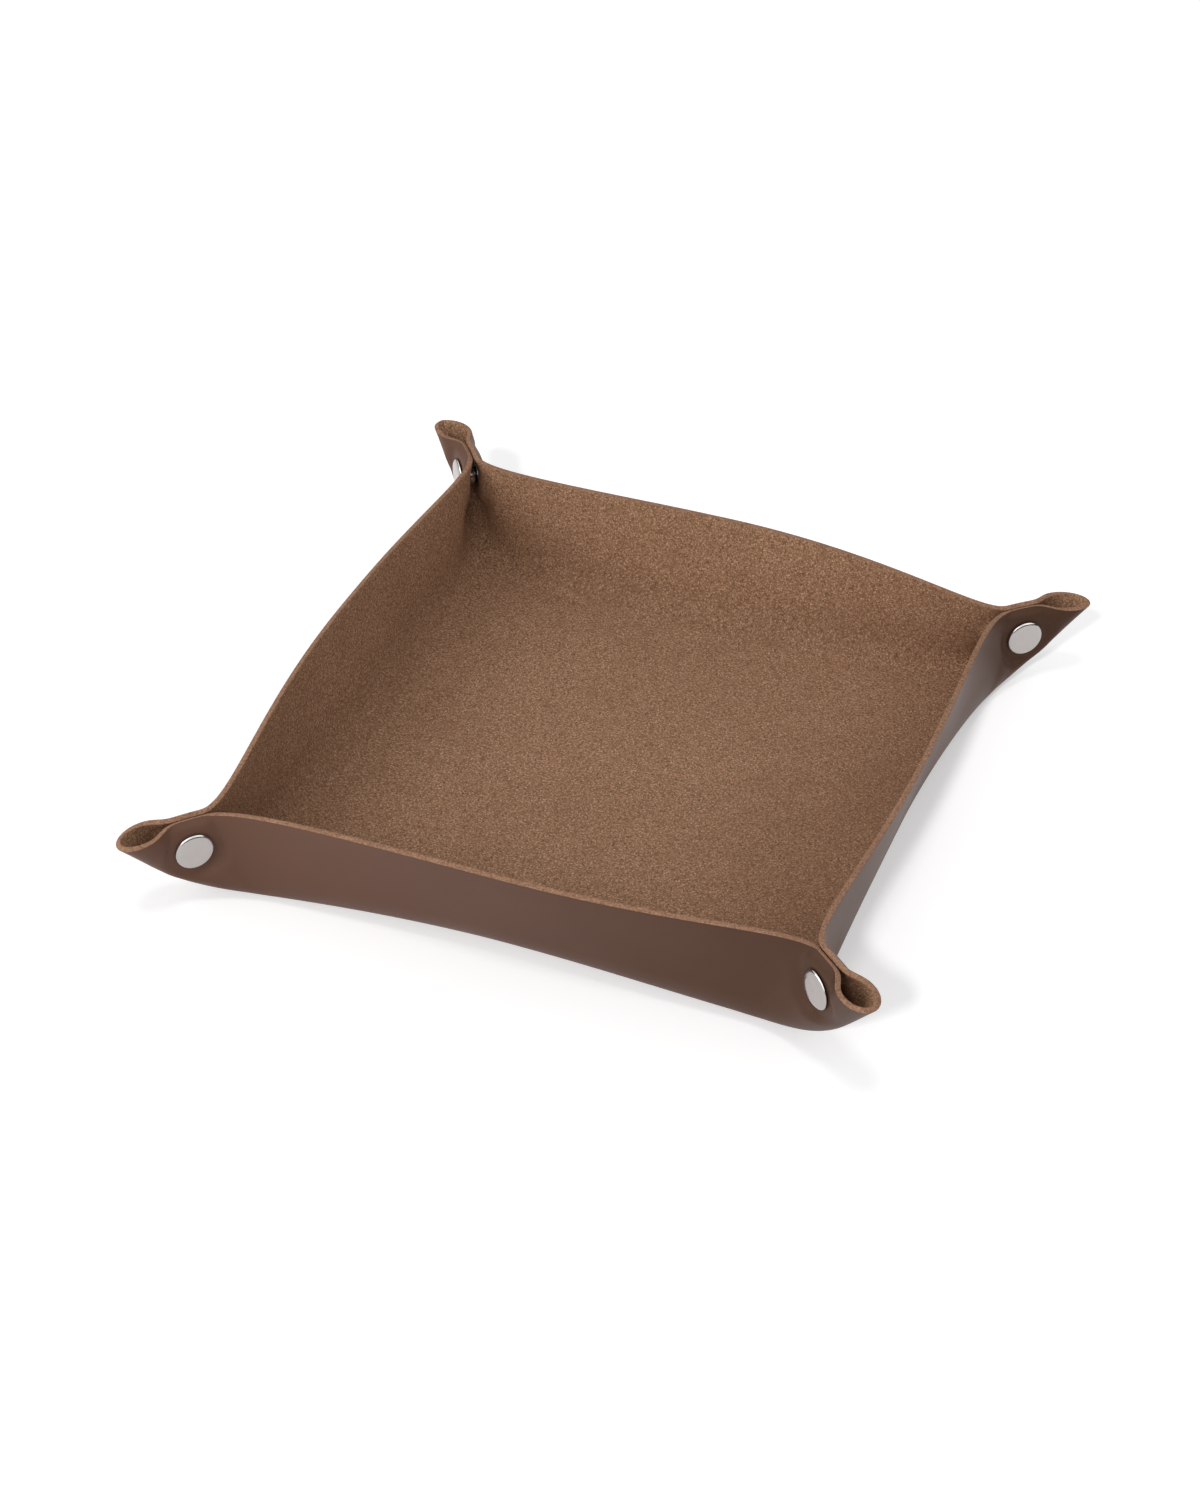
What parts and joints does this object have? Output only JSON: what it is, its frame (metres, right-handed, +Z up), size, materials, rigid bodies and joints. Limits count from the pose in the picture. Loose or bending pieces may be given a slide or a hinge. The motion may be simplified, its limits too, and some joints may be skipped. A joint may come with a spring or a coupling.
{
  "type": "leather tray",
  "caption": "Square desk tray of one leather sheet, suede inside, whose corners are pinched into walls by nickel press studs.",
  "frame": {"origin": "middle of the underside, on the table", "axes": "+Z up, +X to the right and +Y to the back as the tray stands in the picture, along its walls"},
  "size_m": [0.2414, 0.2442, 0.0406],
  "materials": {
    "leather": "suede inside, smooth satin outside, raw cut edge",
    "nickel": "polished nickel plate",
    "spring_steel": "bright wire"
  },
  "bodies": {
    "tray": {"leather_sheet": "leather", "front_left_stud": "nickel", "front_left_eyelet": "nickel", "front_right_stud": "nickel", "front_right_eyelet": "nickel", "back_right_stud": "nickel", "back_right_eyelet": "nickel", "back_left_stud": "nickel", "back_left_eyelet": "nickel"},
    "front_left_snap": {"front_left_cap": "nickel", "front_left_socket": "nickel", "front_left_spring": "spring_steel"},
    "front_right_snap": {"front_right_cap": "nickel", "front_right_socket": "nickel", "front_right_spring": "spring_steel"},
    "back_right_snap": {"back_right_cap": "nickel", "back_right_socket": "nickel", "back_right_spring": "spring_steel"},
    "back_left_snap": {"back_left_cap": "nickel", "back_left_socket": "nickel", "back_left_spring": "spring_steel"}
  },
  "joints": [
    {"name": "front_left_unsnap", "type": "slide", "parent": "tray", "child": "front_left_snap", "axis": [0.7308, -0.6826, 0], "range_m": [0, 0.008], "deforming": ["leather_sheet", "front_left_spring"]},
    {"name": "front_right_unsnap", "type": "slide", "parent": "tray", "child": "front_right_snap", "axis": [-0.6485, -0.7612, 0], "range_m": [0, 0.008], "deforming": ["leather_sheet", "front_right_spring"]},
    {"name": "back_right_unsnap", "type": "slide", "parent": "tray", "child": "back_right_snap", "axis": [0.6671, -0.745, 0], "range_m": [0, 0.008], "deforming": ["leather_sheet", "back_right_spring"]},
    {"name": "back_left_unsnap", "type": "slide", "parent": "tray", "child": "back_left_snap", "axis": [-0.781, -0.6245, 0], "range_m": [0, 0.008], "deforming": ["leather_sheet", "back_left_spring"]}
  ]
}
